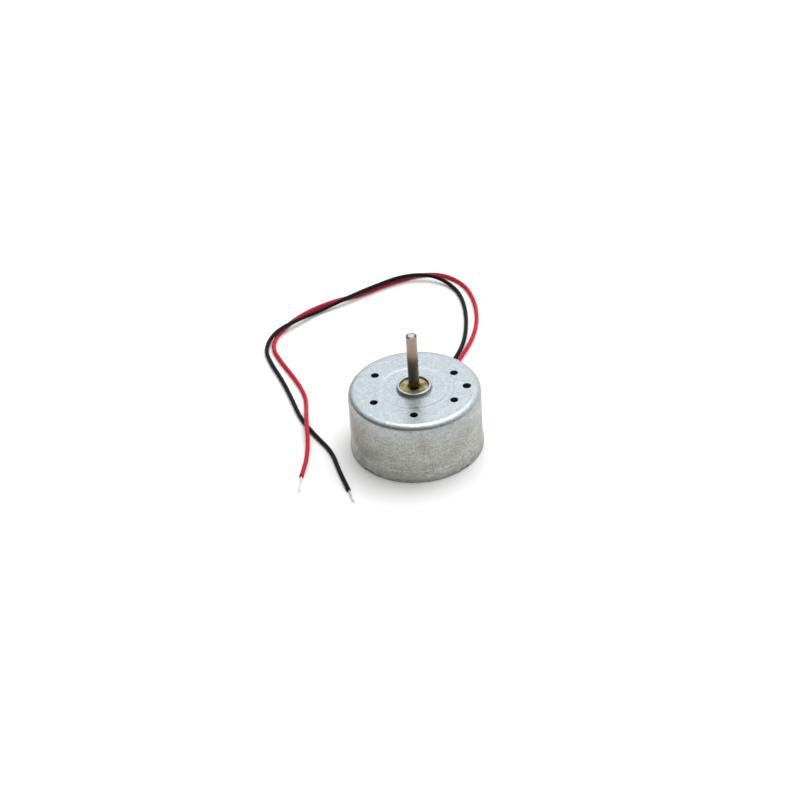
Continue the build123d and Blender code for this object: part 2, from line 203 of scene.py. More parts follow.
def squared(wave: np.ndarray, power: object) -> np.ndarray:
    """A sine or cosine to a power, with its sign kept: below one it squares a circle off."""
    return np.sign(wave) * np.abs(wave) ** power


def rings_along(line: np.ndarray, radii: np.ndarray, round_count: int) -> np.ndarray:
    """Rings about a line that lies nearly flat: a ring's points are its centre plus its radius
    times cos(turn) to the line's left and sin(turn) upwards, so it runs anticlockwise about the
    direction of travel.

    Args:
        line: The rings' centres, of shape (number, 3).
        radii: The rings' radii, of shape (number,).
        round_count: The number of points round a ring.

    Returns:
        Points of shape (number, round_count, 3).
    """
    left, above = sides_of(line)
    turn = np.linspace(0, 2 * math.pi, round_count, endpoint=False)[:, None]
    spokes = np.cos(turn) * left[:, None, :] + np.sin(turn) * above[:, None, :]
    return line[:, None, :] + radii[:, None, None] * spokes


def smooth_line(route: Route, spacing: float) -> np.ndarray:
    """Points evenly spaced along the NURBS spline that has a route's points as its controls.

    Args:
        route: The control points.
        spacing: The distance between points.

    Returns:
        Points of shape (number, 3), from the route's start to its end.
    """
    curve = bpy.data.curves.new("route", "CURVE")
    curve.dimensions = "3D"
    curve.resolution_u = SPLINE_STEPS
    spline = curve.splines.new("NURBS")
    spline.points.add(len(route) - 1)
    controls = np.column_stack([np.array(route, float), np.ones(len(route))])
    spline.points.foreach_set("co", controls.astype(np.float32).ravel())
    spline.order_u = 3
    spline.use_endpoint_u = True
    holder = bpy.data.objects.new("route", curve)
    mesh = bpy.data.meshes.new_from_object(holder)
    found = np.zeros(len(mesh.vertices) * 3, np.float32)
    mesh.vertices.foreach_get("co", found)
    bpy.data.meshes.remove(mesh)
    bpy.data.objects.remove(holder)
    bpy.data.curves.remove(curve)
    found = found.reshape(-1, 3).astype(float)
    along = np.concatenate([[0], np.cumsum(np.linalg.norm(np.diff(found, axis=0), axis=1))])
    wanted = np.linspace(0, along[-1], max(2, round(along[-1] / spacing) + 1))
    return np.stack([np.interp(wanted, along, found[:, k]) for k in range(3)], 1)


def length_of(line: np.ndarray) -> float:
    """The length of a line of points."""
    return float(np.linalg.norm(np.diff(line, axis=0), axis=1).sum())


# ------------------------------------------------------------------ shader building
class Tree:
    """Adds nodes to one shader tree and joins them."""

    def __init__(self, tree: bpy.types.NodeTree) -> None:
        """Works on a tree.

        Args:
            tree: A material's or group's node tree.
        """
        self.tree = tree

    def put(self, socket: Socket, value: object) -> None:
        """Gives an input a socket to read, or a fixed value.

        Args:
            socket: The input.
            value: A socket, a number, or three or four numbers.
        """
        if isinstance(value, bpy.types.NodeSocket):
            self.tree.links.new(value, socket)
        elif socket.type == "RGBA":
            socket.default_value = (*value, 1.0)[:4]
        else:
            socket.default_value = value

    def add(self, kind: str, inputs: dict | None = None, **settings: object) -> bpy.types.Node:
        """Adds a node.

        Args:
            kind: The node's type, without its ShaderNode prefix.
            inputs: What its inputs get, by name or number.
            **settings: The node's own properties.

        Returns:
            The node.
        """
        node = self.tree.nodes.new("ShaderNode" + kind)
        for name, value in settings.items():
            setattr(node, name, value)
        for key, value in (inputs or {}).items():
            self.put(node.inputs[key], value)
        return node

    def math(self, operation: str, *values: object) -> Socket:
        """The result of a Math node on one to three values."""
        return self.add("Math", dict(enumerate(values)), operation=operation).outputs[0]

    def vector(self, operation: str, first: object, second: object) -> Socket:
        """The result of a Vector Math node on two values."""
        return self.add("VectorMath", {0: first, 1: second}, operation=operation).outputs[0]

    def mix(self, mask: object, low: object, high: object) -> Socket:
        """A mix of two colours.

        Args:
            mask: How much of the second shows, from 0 to 1.
            low: The first colour.
            high: The second colour.

        Returns:
            The mixed colour's socket.
        """
        return self.add("Mix", {0: mask, 6: low, 7: high}, data_type="RGBA").outputs[2]

    def span(
        self, value: object, start: object, stop: object, low: object = 0.0, high: object = 1.0
    ) -> Socket:
        """A value that goes smoothly from low to high as another goes from start to stop.

        Args:
            value: What is followed.
            start: Where the change begins.
            stop: Where it ends.
            low: The result before it.
            high: The result after it.

        Returns:
            The result's socket.
        """
        inputs = {0: value, 1: start, 2: stop, 3: low, 4: high}
        return self.add("MapRange", inputs, interpolation_type="SMOOTHSTEP").outputs[0]

    def group(self, made: bpy.types.NodeTree, **inputs: object) -> bpy.types.Node:
        """Places a node group.

        Args:
            made: The group's tree.
            **inputs: What its inputs get, by name, with _ for a space.

        Returns:
            The group's node.
        """
        node = self.tree.nodes.new("ShaderNodeGroup")
        node.node_tree = made
        for name, value in inputs.items():
            self.put(node.inputs[name.replace("_", " ")], value)
        return node


class Effects:
    """The effects that several finishes share, each a node group that is built once."""

    def __init__(self) -> None:
        """Builds the groups."""
        self.place = self._place()
        self.patches = self._patches()
        self.band = self._band()
        self.lines = self._lines()
        self.scuffs = self._scuffs()

    @staticmethod
    def _new(
        name: str, inputs: dict[str, object], outputs: list[str]
    ) -> tuple[Tree, dict[str, Socket], bpy.types.Node]:
        """Starts a group.

        Args:
            name: The group's name.
            inputs: Its inputs' names and first values. Three numbers make a vector.
            outputs: Its outputs' names.

        Returns:
            Its tree, its inputs by name and its output node.
        """
        made = bpy.data.node_groups.new(name, "ShaderNodeTree")
        for label, value in inputs.items():
            kind = "NodeSocketVector" if isinstance(value, tuple) else "NodeSocketFloat"
            made.interface.new_socket(label, in_out="INPUT", socket_type=kind).default_value = value
        for label in outputs:
            made.interface.new_socket(label, in_out="OUTPUT", socket_type="NodeSocketFloat")
        source = made.nodes.new("NodeGroupInput")
        sink = made.nodes.new("NodeGroupOutput")
        return Tree(made), {label: source.outputs[label] for label in inputs}, sink

    def _place(self) -> bpy.types.NodeTree:
        """Where a point is about the shaft: its distance from the axis and its height in
        millimetres, and its direction in turns."""
        tree, _, sink = self._new("place_about_shaft", {}, ["Radius", "Height", "Turn"])
        here = tree.add("TexCoord").outputs["Object"]
        parts = tree.add("SeparateXYZ", {0: here}).outputs
        flat = tree.vector("MULTIPLY", here, (1.0, 1.0, 0.0))
        radius = tree.add("VectorMath", {0: flat}, operation="LENGTH").outputs["Value"]
        tree.put(sink.inputs["Radius"], tree.math("MULTIPLY", radius, 1000.0))
        tree.put(sink.inputs["Height"], tree.math("MULTIPLY", parts[2], 1000.0))
        angle = tree.math("ARCTAN2", parts[1], parts[0])
        tree.put(sink.inputs["Turn"], tree.math("DIVIDE", angle, 2 * math.pi))
        return tree.tree

    def _patches(self) -> bpy.types.NodeTree:
        """Cloudy patches about Size millimetres across: four-dimensional noise less a half, times
        Contrast, plus a half. A Squeeze over one makes them shorter along that axis."""
        inputs = {"Size": 2.0, "Squeeze": (1.0, 1.0, 1.0), "Contrast": 1.0, "Seed": 0.0}
        tree, given, sink = self._new("patches", inputs, ["Mask"])
        here = tree.add("TexCoord").outputs["Object"]
        drawn = tree.vector("MULTIPLY", here, given["Squeeze"])
        scale = tree.math("DIVIDE", 1000.0, given["Size"])
        noise = tree.add(
            "TexNoise",
            {"Vector": drawn, "W": given["Seed"], "Scale": scale, "Detail": 4.0, "Roughness": 0.55},
            noise_dimensions="4D",
        )
        centred = tree.math("SUBTRACT", noise.outputs[0], 0.5)
        spread = tree.math("MULTIPLY_ADD", centred, given["Contrast"], 0.5)
        tree.put(sink.inputs["Mask"], tree.math("MINIMUM", tree.math("MAXIMUM", spread, 0.0), 1.0))
        return tree.tree

    def _band(self) -> bpy.types.NodeTree:
        """One inside a band of a value, falling smoothly to zero outside it."""
        inputs = {"Value": 0.0, "Centre": 0.0, "Half Width": 0.1, "Fade": 0.1}
        tree, given, sink = self._new("band", inputs, ["Mask"])
        away = tree.math("ABSOLUTE", tree.math("SUBTRACT", given["Value"], given["Centre"]))
        edge = tree.math("ADD", given["Half Width"], given["Fade"])
        tree.put(sink.inputs["Mask"], tree.span(away, given["Half Width"], edge, 1.0, 0.0))
        return tree.tree

    def _lines(self) -> bpy.types.NodeTree:
        """Uneven lines across a value, about Pitch apart, as a turning or drawing tool leaves."""
        inputs = {"Value": 0.0, "Pitch": 0.1, "Seed": 0.0}
        tree, given, sink = self._new("tool_lines", inputs, ["Mask"])
        along = tree.math("ADD", tree.math("DIVIDE", given["Value"], given["Pitch"]), given["Seed"])
        noise = tree.add(
            "TexNoise",
            {"W": along, "Scale": 1.0, "Detail": 2.0, "Roughness": 0.6},
            noise_dimensions="1D",
        )
        tree.put(sink.inputs["Mask"], tree.span(noise.outputs[0], 0.25, 0.75))
        return tree.tree

    def _scuffs(self) -> bpy.types.NodeTree:
        """Sparse rubbed spots, where coarse patches times fine ones pass a level that falls as
        Amount grows."""
        tree, given, sink = self._new("scuffs", {"Size": 1.0, "Amount": 0.5, "Seed": 0.0}, ["Mask"])
        coarse = tree.group(self.patches, Size=given["Size"], Contrast=2.2, Seed=given["Seed"])
        fine_size = tree.math("MULTIPLY", given["Size"], 0.17)
        fine = tree.group(self.patches, Size=fine_size, Contrast=2.6, Seed=given["Seed"])
        both = tree.math("MULTIPLY", coarse.outputs[0], fine.outputs[0])
        start = tree.math("SUBTRACT", 0.75, tree.math("MULTIPLY", given["Amount"], 0.5))
        stop = tree.math("ADD", start, 0.2)
        tree.put(sink.inputs["Mask"], tree.span(both, start, stop))
        return tree.tree


EFFECTS = Effects()


class Surface(Tree):
    """One material with its Principled shader, under construction."""

    def __init__(self, name: str, metallic: float = 0.0, **sockets: float) -> None:
        """Starts a material.

        Args:
            name: The material's name.
            metallic: How metallic it is, all over.
            **sockets: Other inputs of the shader that are the same all over, with _ for a space.
        """
        self.material = bpy.data.materials.new(name)
        self.material.use_nodes = True
        super().__init__(self.material.node_tree)
        self.shader = self.tree.nodes["Principled BSDF"]
        self.put(self.shader.inputs["Metallic"], metallic)
        for label, value in sockets.items():
            self.put(self.shader.inputs[label.replace("_", " ")], value)

    def patches(
        self, size_mm: float, contrast: float, seed: float, squeeze: Triple = (1.0, 1.0, 1.0)
    ) -> Socket:
        """Cloudy patches of a size, as a mask."""
        inputs = {"Size": size_mm, "Contrast": contrast, "Seed": seed, "Squeeze": squeeze}
        return self.group(EFFECTS.patches, **inputs).outputs[0]

    def band(self, value: Socket, centre: float, half_width: float, fade: float) -> Socket:
        """A mask that is one within a band of a value."""
        inputs = {"Value": value, "Centre": centre, "Half_Width": half_width, "Fade": fade}
        return self.group(EFFECTS.band, **inputs).outputs[0]

    def lines(self, value: Socket, pitch: float, seed: float = 0.0) -> Socket:
        """Uneven tool lines across a value, as a mask."""
        return self.group(EFFECTS.lines, Value=value, Pitch=pitch, Seed=seed).outputs[0]

    def scuffs(self, size_mm: float, amount: float, seed: float) -> Socket:
        """Sparse rubbed spots, as a mask."""
        return self.group(EFFECTS.scuffs, Size=size_mm, Amount=amount, Seed=seed).outputs[0]

    def share(self, mask: Socket, amount: float) -> Socket:
        """A mask held down to a part of its strength."""
        return self.math("MULTIPLY", mask, amount)

    def finish(
        self, colour: object, roughness: object, bumps: list[tuple[Socket, float]]
    ) -> bpy.types.Material:
        """Joins the surface to its shader.

        Args:
            colour: The base colour.
            roughness: The roughness.
            bumps: Heights from 0 to 1, each with its depth in millimetres.

        Returns:
            The finished material.
        """
        self.put(self.shader.inputs["Base Color"], colour)
        self.put(self.shader.inputs["Roughness"], roughness)
        normal = None
        for height, depth_mm in bumps:
            node = self.add("Bump", {"Height": height, "Distance": depth_mm * MM, "Strength": 1.0})
            if normal is not None:
                self.put(node.inputs["Normal"], normal)
            normal = node.outputs["Normal"]
        if normal is not None:
            self.put(self.shader.inputs["Normal"], normal)
        return self.material


# ------------------------------------------------------------------ finishes
@dataclass(frozen=True)
class PlatedSteel:
    """Zinc plate on drawn steel: cool and even on the front, warm and blotched on the wall, with
    painted light and shade. Heights and radii are in millimetres from the rear rim and from the
    shaft's axis."""

    name: str = "zinc_plated_steel"
    front: Colour = (0.395, 0.44, 0.475)
    wall: Colour = (0.46, 0.455, 0.405)
    stain: Colour = (0.26, 0.24, 0.185)
    # Also the colour of the painted shade at the wall's foot and round the boss.
    grime_and_painted_shade: Colour = (0.17, 0.16, 0.14)
    bright: Colour = (0.70, 0.735, 0.75)
    corner_from: float = 11.5
    corner_to: float = 12.25
    top_light_from: float = 7.0
    top_light_to: float = 11.6
    foot_top: float = 1.8
    flare_top: float = 2.4
    panel_radius: float = 6.3
    boss_foot_radius: float = 3.25

    def build(self) -> bpy.types.Material:
        """The material."""
        s = Surface(self.name, metallic=1.0)
        place = s.group(EFFECTS.place).outputs
        radius, height, turn = place["Radius"], place["Height"], place["Turn"]
        on_front = s.span(height, self.corner_from, self.corner_to)
        mottle = s.patches(size_mm=1.1, contrast=3.2, seed=1.0)
        spangle = s.patches(size_mm=0.36, contrast=3.2, seed=4.0)
        blotch = s.patches(size_mm=4.2, contrast=2.6, seed=2.0, squeeze=(1.0, 1.0, 1.9))

        # The wall is stained and smeared. Painted light lightens it towards the front, and painted
        # shade darkens its foot.
        streak = s.patches(size_mm=2.6, contrast=3.4, seed=7.0, squeeze=(1.0, 1.0, 4.5))
        smudge = s.patches(size_mm=3.2, contrast=3.6, seed=9.0, squeeze=(1.6, 1.6, 0.5))
        painted_top_light = s.span(height, self.top_light_from, self.top_light_to, high=0.45)
        foot = s.span(height, 0.0, self.foot_top, low=0.50, high=0.0)
        wall = s.mix(s.share(blotch, 0.80), self.wall, self.stain)
        wall = s.mix(s.share(streak, 0.34), wall, self.grime_and_painted_shade)
        wall = s.mix(s.share(smudge, 0.30), wall, self.grime_and_painted_shade)
        wall = s.mix(painted_top_light, wall, self.front)
        wall = s.mix(foot, wall, self.grime_and_painted_shade)

        # The front is nearly even. Both carry the plate's mottle and its small crystals.
        front = s.mix(s.share(blotch, 0.26), self.front, self.grime_and_painted_shade)
        colour = s.mix(on_front, wall, front)
        colour = s.mix(s.share(mottle, 0.25), colour, self.grime_and_painted_shade)
        colour = s.mix(s.share(spangle, 0.40), colour, self.bright)

        # A painted highlight brightens the raised panel's edge; the flare and spots are rubbed
        # bright.
        panel = s.band(radius, self.panel_radius, half_width=0.10, fade=0.22)
        flare = s.band(height, self.flare_top, half_width=0.05, fade=0.12)
        edges = s.share(s.math("MULTIPLY", panel, on_front), 0.1)
        edges = s.math("MAXIMUM", edges, s.share(s.math("MULTIPLY", flare, spangle), 0.5))
        spots = s.share(s.scuffs(size_mm=2.4, amount=0.55, seed=3.0), 0.30)
        colour = s.mix(s.math("MAXIMUM", edges, spots), colour, self.bright)

        # The press leaves faint rings on the front, and painted shade darkens the front round the
        # boss's foot.
        rings = s.share(s.lines(radius, pitch=0.55, seed=3.0), 0.16)
        colour = s.mix(s.math("MULTIPLY", rings, on_front), colour, self.bright)
        painted_boss_shade = s.share(s.band(radius, self.boss_foot_radius, half_width=0.05, fade=0.18), 0.5)
        colour = s.mix(s.math("MULTIPLY", painted_boss_shade, on_front), colour, self.grime_and_painted_shade)

        rough = s.math("MULTIPLY_ADD", mottle, 0.10, 0.27)
        rough = s.math("ADD", rough, s.share(blotch, 0.10))
        spin = s.math("MULTIPLY", s.lines(radius, pitch=0.16), on_front)
        draw = s.lines(s.math("MULTIPLY", turn, 360.0), pitch=1.3, seed=5.0)
        drawn = s.math("MULTIPLY", draw, s.math("SUBTRACT", 1.0, on_front))
        bumps = [(spangle, 0.006), (mottle, 0.013), (spin, 0.004), (drawn, 0.004)]
        return s.finish(colour, rough, bumps)


@dataclass(frozen=True)
class SinteredBronze:
    """Pressed bronze powder soaked with oil, darkest where the shaft comes out."""

    name: str = "sintered_bronze"
    metal: Colour = (0.17, 0.145, 0.05)
    pale: Colour = (0.46, 0.38, 0.19)
    oil: Colour = (0.09, 0.06, 0.018)
    bore_dark_from: float = 1.07
    bore_dark_to: float = 1.77

    def build(self) -> bpy.types.Material:
        """The material."""
        s = Surface(self.name, metallic=0.9)
        radius = s.group(EFFECTS.place).outputs["Radius"]
        powder = s.patches(size_mm=0.11, contrast=2.6, seed=11.0)
        clouds = s.patches(size_mm=1.5, contrast=6.5, seed=12.0)
        colour = s.mix(clouds, self.metal, self.pale)
        colour = s.mix(s.share(powder, 0.35), colour, self.oil)
        # Darker towards the bore.
        darker_to_bore = s.span(radius, self.bore_dark_from, self.bore_dark_to, low=0.85, high=0.0)
        colour = s.mix(darker_to_bore, colour, self.oil)
        rough = s.math("MULTIPLY_ADD", powder, 0.22, 0.30)
        return s.finish(colour, rough, [(powder, 0.012), (clouds, 0.01)])


@dataclass(frozen=True)
class GroundSteel:
    """Centreless-ground steel with fine lines round it, darkened and browned by painted shade that
    thins out upwards, and with a painted dark ring of shade round its pale cut tip."""

    name: str = "ground_steel"
    metal: Colour = (0.40, 0.30, 0.235)
    marks_and_painted_shade: Colour = (0.16, 0.125, 0.087)
    cut: Colour = (0.53, 0.52, 0.525)
    painted_crown_shade: Colour = (0.10, 0.088, 0.088)
    low_shade_from: float = 18.4
    low_shade_to: float = 20.5
    crown_from: float = 23.72
    crown_to: float = 23.78
    cut_from: float = 0.48
    cut_to: float = 0.74

    def build(self) -> bpy.types.Material:
        """The material."""
        s = Surface(self.name, metallic=1.0)
        place = s.group(EFFECTS.place).outputs
        radius, height = place["Radius"], place["Height"]
        grind = s.lines(height, pitch=0.045)
        wide = s.lines(height, pitch=0.55, seed=9.0)
        smear = s.patches(size_mm=0.8, contrast=2.4, seed=21.0, squeeze=(1.0, 1.0, 2.5))
        # Painted shade: the shaft darkens and browns below a ragged line, fading out upwards.
        ragged = s.math("MULTIPLY_ADD", smear, 0.3, height)
        painted_low_shade = s.span(ragged, self.low_shade_from, self.low_shade_to, low=1.0, high=0.0)
        colour = s.mix(painted_low_shade, self.metal, self.marks_and_painted_shade)
        colour = s.mix(s.share(wide, 0.22), colour, self.marks_and_painted_shade)
        colour = s.mix(s.share(smear, 0.25), colour, self.marks_and_painted_shade)
        # Painted shade: a dark ring round the cut tip's pale middle.
        tip = s.mix(s.span(radius, self.cut_from, self.cut_to), self.cut, self.painted_crown_shade)
        colour = s.mix(s.span(height, self.crown_from, self.crown_to), colour, tip)
        rough = s.math("MULTIPLY_ADD", grind, 0.12, 0.20)
        return s.finish(colour, rough, [(grind, 0.0012), (wide, 0.002)])


@dataclass(frozen=True)
class Metal:
    """A plain metal with tarnish in clouds, fine grain and rubbed spots."""

    name: str
    base: Colour
    tarnish: Colour
    cloud_mm: float = 1.2
    grain_mm: float = 0.12
    base_roughness: float = 0.28

    def build(self) -> bpy.types.Material:
        """The material."""
        s = Surface(self.name, metallic=1.0)
        clouds = s.patches(self.cloud_mm, contrast=2.2, seed=31.0)
        grain = s.patches(self.grain_mm, contrast=2.0, seed=32.0)
        rubbed = s.scuffs(self.cloud_mm, amount=0.6, seed=33.0)
        colour = s.mix(s.share(clouds, 0.6), self.base, self.tarnish)
        colour = s.mix(s.share(grain, 0.18), colour, self.tarnish)
        colour = s.mix(s.share(rubbed, 0.5), colour, self.base)
        rough = s.math("MULTIPLY_ADD", clouds, 0.16, self.base_roughness)
        return s.finish(colour, rough, [(grain, 0.004), (clouds, 0.006)])


@dataclass(frozen=True)
class Worn:
    """A turned metal whose sliding track is polished bright, at one height."""

    name: str
    base: Colour
    track: Colour
    track_height: float
    track_half: float

    def build(self) -> bpy.types.Material:
        """The material."""
        s = Surface(self.name, metallic=1.0)
        height = s.group(EFFECTS.place).outputs["Height"]
        clouds = s.patches(size_mm=0.7, contrast=2.0, seed=41.0)
        ridges = s.lines(height, pitch=0.06)
        colour = s.mix(s.share(clouds, 0.5), self.base, self.track)
        polished = s.band(height, self.track_height, self.track_half, fade=0.12)
        colour = s.mix(polished, colour, self.track)
        rough = s.math("MULTIPLY_ADD", polished, -0.14, 0.34)
        return s.finish(colour, rough, [(ridges, 0.003), (clouds, 0.004)])


@dataclass(frozen=True)
class Moulded:
    """A moulded or pressed non-metal: faint flow clouds, a fine skin and dusty spots."""

    name: str
    base: Colour
    shade: Colour
    cloud_mm: float = 2.5
    skin_mm: float = 0.10
    skin_depth: float = 0.006
    base_roughness: float = 0.45
    dust: float = 0.3
    coat: float = 0.0

    def build(self) -> bpy.types.Material:
        """The material."""
        s = Surface(self.name, Coat_Weight=self.coat, Coat_Roughness=0.25)
        clouds = s.patches(self.cloud_mm, contrast=2.0, seed=51.0)
        skin = s.patches(self.skin_mm, contrast=2.0, seed=52.0)
        dusty = s.scuffs(self.cloud_mm * 0.6, self.dust, seed=53.0)
        colour = s.mix(s.share(clouds, 0.55), self.base, self.shade)
        colour = s.mix(s.share(skin, 0.15), colour, self.shade)
        rough = s.math("MULTIPLY_ADD", clouds, 0.12, self.base_roughness)
        rough = s.math("ADD", rough, s.share(dusty, 0.15))
        return s.finish(colour, rough, [(skin, self.skin_depth), (clouds, 0.01)])


@dataclass(frozen=True)
class Insulation:
    """Soft extruded insulation: faint lines along the lead, with pale bloom in patches and a
    little dust."""

    name: str
    base: Colour
    bloom: Colour
    length_mm: float
    seed: float
    dust_colour: Colour = (0.75, 0.74, 0.72)
    line_mm: float = 6.0
    lines_round: float = 9.0

    def build(self) -> bpy.types.Material:
        """The material."""
        s = Surface(self.name, Specular_IOR_Level=0.1)
        flat = s.add("TexCoord").outputs["UV"]
        scale = (self.length_mm / self.line_mm, self.lines_round, 0.0)
        stretched = s.vector("MULTIPLY", flat, scale)
        noise = s.add("TexNoise", {"Vector": stretched, "Scale": 1.0, "Detail": 3.0})
        draw = noise.outputs[0]
        handled = s.patches(size_mm=3.5, contrast=2.2, seed=self.seed)
        skin = s.patches(size_mm=0.13, contrast=2.0, seed=self.seed + 1)
        dust = s.scuffs(size_mm=1.3, amount=0.55, seed=self.seed + 2)
        colour = s.mix(s.share(handled, 0.35), self.base, self.bloom)
        colour = s.mix(s.share(dust, 0.05), colour, self.dust_colour)
        rough = s.math("MULTIPLY_ADD", handled, 0.14, 0.32)
        rough = s.math("MULTIPLY_ADD", dust, 0.2, rough)
        return s.finish(colour, rough, [(skin, 0.004), (draw, 0.012)])


@dataclass(frozen=True)
class Enamel:
    """Enamelled copper wire: a clear glossy coat over copper, with darker gaps between turns."""

    name: str = "magnet_wire"
    copper: Colour = (0.60, 0.22, 0.08)
    gap: Colour = (0.16, 0.04, 0.015)
    wires_shown: float = 60.0

    def build(self) -> bpy.types.Material:
        """The material."""
        s = Surface(self.name, metallic=0.85, Coat_Weight=0.6, Coat_Roughness=0.12)
        along = s.add("SeparateXYZ", {0: s.add("TexCoord").outputs["UV"]}).outputs
        wires = s.lines(s.math("MULTIPLY", along[0], self.wires_shown), pitch=1.0)
        clouds = s.patches(size_mm=1.4, contrast=2.0, seed=61.0)
        colour = s.mix(s.share(wires, 0.45), self.copper, self.gap)
        colour = s.mix(s.share(clouds, 0.3), colour, self.gap)
        rough = s.math("MULTIPLY_ADD", wires, 0.1, 0.24)
        return s.finish(colour, rough, [(wires, 0.004)])


def plain_finishes() -> dict[str, bpy.types.Material]:
    """Builds the finish of each material slot that the model's own pieces use.

    Returns:
        Materials by slot name.
    """
    finishes = {
        "can_steel": PlatedSteel(),
        "bearing_bronze": SinteredBronze(),
        "shaft_steel": GroundSteel(),
    }
    named_as_slot = [
        Moulded("magnet_rubber", (0.045, 0.04, 0.038), (0.09, 0.08, 0.075), base_roughness=0.7),
        Moulded("cap_plastic", (0.70, 0.68, 0.60), (0.60, 0.57, 0.47), coat=0.15),
        Moulded("insulation_film", (0.42, 0.06, 0.05), (0.28, 0.04, 0.035), coat=0.1),
        Moulded("commutator_moulding", (0.03, 0.06, 0.05), (0.015, 0.035, 0.03)),
        Moulded(
            "varistor_ceramic", (0.13, 0.12, 0.115), (0.07, 0.065, 0.06), skin_depth=0.012
        ),
        Moulded("washer_plastic", (0.80, 0.79, 0.73), (0.72, 0.70, 0.62), cloud_mm=1.2),
        Moulded("damper_rubber", (0.02, 0.02, 0.02), (0.04, 0.04, 0.04), base_roughness=0.65),
        Metal("lamination_steel", (0.36, 0.36, 0.37), (0.16, 0.15, 0.15)),
        Metal("terminal_brass", (0.66, 0.50, 0.22), (0.40, 0.28, 0.11)),
        Metal("spring_bronze", (0.68, 0.42, 0.21), (0.42, 0.24, 0.11), base_roughness=0.22),
        Metal(
            "solder", (0.66, 0.66, 0.67), (0.36, 0.34, 0.31), cloud_mm=0.5, base_roughness=0.22
        ),
        Metal(
            "tinned_wire",
            (0.88, 0.87, 0.84),
            (0.58, 0.56, 0.53),
            cloud_mm=0.6,
            grain_mm=0.05,
            base_roughness=0.3,
        ),
        Worn(
            "commutator_copper",
            (0.48, 0.23, 0.12),
            (0.80, 0.50, 0.34),
            track_height=3.95,
            track_half=0.35,
        ),
        Enamel(),
    ]
    finishes |= {finish.name: finish for finish in named_as_slot}
    return {slot: finish.build() for slot, finish in finishes.items()}


# ------------------------------------------------------------------ loose, wound, soldered
@dataclass
class Lead:
    """One insulated lead and its bare stranded end."""

    colour_name: str
    route: Route
    bare_route: Route
    material: bpy.types.Material
    bare_material: bpy.types.Material
    stated_length: float
    splay: float
    short_share: float
    seed: float
    diameter: float = 0.8 * MM
    ring_spacing: float = 0.3 * MM
    round_count: int = 28
    slow_ripple: tuple[float, float] = (0.008, 3.7 * MM)
    quick_ripple: tuple[float, float] = (0.006, 1.3 * MM)
    cut_shares: tuple[float, ...] = (0.985, 0.95, 0.75, 0.55, 0.46, 0.46, 0.46, 0.2)
    cut_depths_mm: tuple[float, ...] = (-0.02, -0.03, -0.03, -0.02, 0.01, 0.15, 0.45, 0.5)
    strand_count: int = 7
    strand_radius: float = 0.050 * MM
    strand_sides: int = 10
    strand_spacing: float = 0.06 * MM
    tip_shares: tuple[float, ...] = (0.93, 0.72, 0.35)
    bundle_radius: float = 0.100 * MM
    twist_pitch: float = 5.2 * MM
    hidden_length: float = 0.4 * MM

    def insulation(self) -> bpy.types.Object:
        """The insulated tube. Its radius has a slow and a quick ripple, sine waves given by their
        share of it and their length. Its far end is cut square, with a hole where the wire comes
        out: past the line's end the rings shrink to the cut's shares of the radius and go back
        along the lead by its depths.

        Returns:
            The tube.
        """
        self.line = smooth_line(self.route, self.ring_spacing)
        along = np.arange(len(self.line)) * self.ring_spacing
        (slow, slow_length), (quick, quick_length) = self.slow_ripple, self.quick_ripple
        ripple = slow * np.sin(along / slow_length)
        ripple += quick * np.sin(along / quick_length + self.seed)
        body = rings_along(self.line, self.diameter / 2 * (1 + ripple), self.round_count)
        end = self.line[-1]
        backwards = unit(self.line[-2] - end)
        shares = np.array(self.cut_shares)[:, None, None]
        depths = np.array(self.cut_depths_mm)[:, None, None] * MM
        cut = end + depths * backwards + shares * (body[-1] - end)[None]
        shape = lattice(np.concatenate([body, cut]))
        return shape.to_object(f"{self.colour_name}_wire", self.material)

    def strands(self) -> bpy.types.Object:
        """Seven tinned strands, six twisted round one: strand k keeps the bundle's radius from the
        middle line and turns once in a twist pitch, and towards the tip its distance grows by
        the splay. Every other strand ends short of the tip by the short share, and all of them
        are cut unevenly.

        Returns:
            The bare end.
        """
        end = np.array(self.route[-1])
        start = end + unit(np.array(self.route[-2]) - end) * self.hidden_length
        middle = smooth_line([tuple(start), *self.bare_route], self.strand_spacing)
        count = len(middle)
        share = np.linspace(0, 1, count)
        along = share * length_of(middle)
        left, above = sides_of(middle)
        made = None
        for k in range(self.strand_count):
            outer = k < self.strand_count - 1  # the last one is the middle strand
            wander = 0.12 * math.sin(2.4 * k + self.seed) * share
            turn = 2 * math.pi * (along / self.twist_pitch + k / (self.strand_count - 1)) + wander
            own_splay = self.splay * (1 + 0.5 * math.sin(1.9 * k + self.seed))
            reach = self.bundle_radius * (1 + own_splay * share**1.6) * outer
            aside, up = -np.cos(turn) * reach, np.sin(turn) * reach
            uneven = 2 + 3 * (0.37 * k + self.seed) % 5
            keep = count - int(uneven + count * self.short_share * (k % 2))
            line = (middle + aside[:, None] * left + up[:, None] * above)[:keep]
            line[:, 2] = np.maximum(line[:, 2], self.strand_radius)
            shares = np.concatenate([np.ones(keep - len(self.tip_shares)), self.tip_shares])
            strand = lattice(rings_along(line, self.strand_radius * shares, self.strand_sides))
            made = strand if made is None else made.joined(strand)
        return made.to_object(f"{self.colour_name}_wire_end", self.bare_material)

    def build(self) -> None:
        wire = self.insulation()
        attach(wire, "stator")
        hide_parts(f"{self.colour_name}_lead")
        bare = self.strands()
        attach(bare, "stator")
        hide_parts(f"{self.colour_name}_lead_strands")
        LOG.info("%s: %.1f mm long", wire.name, length_of(self.line) / MM)


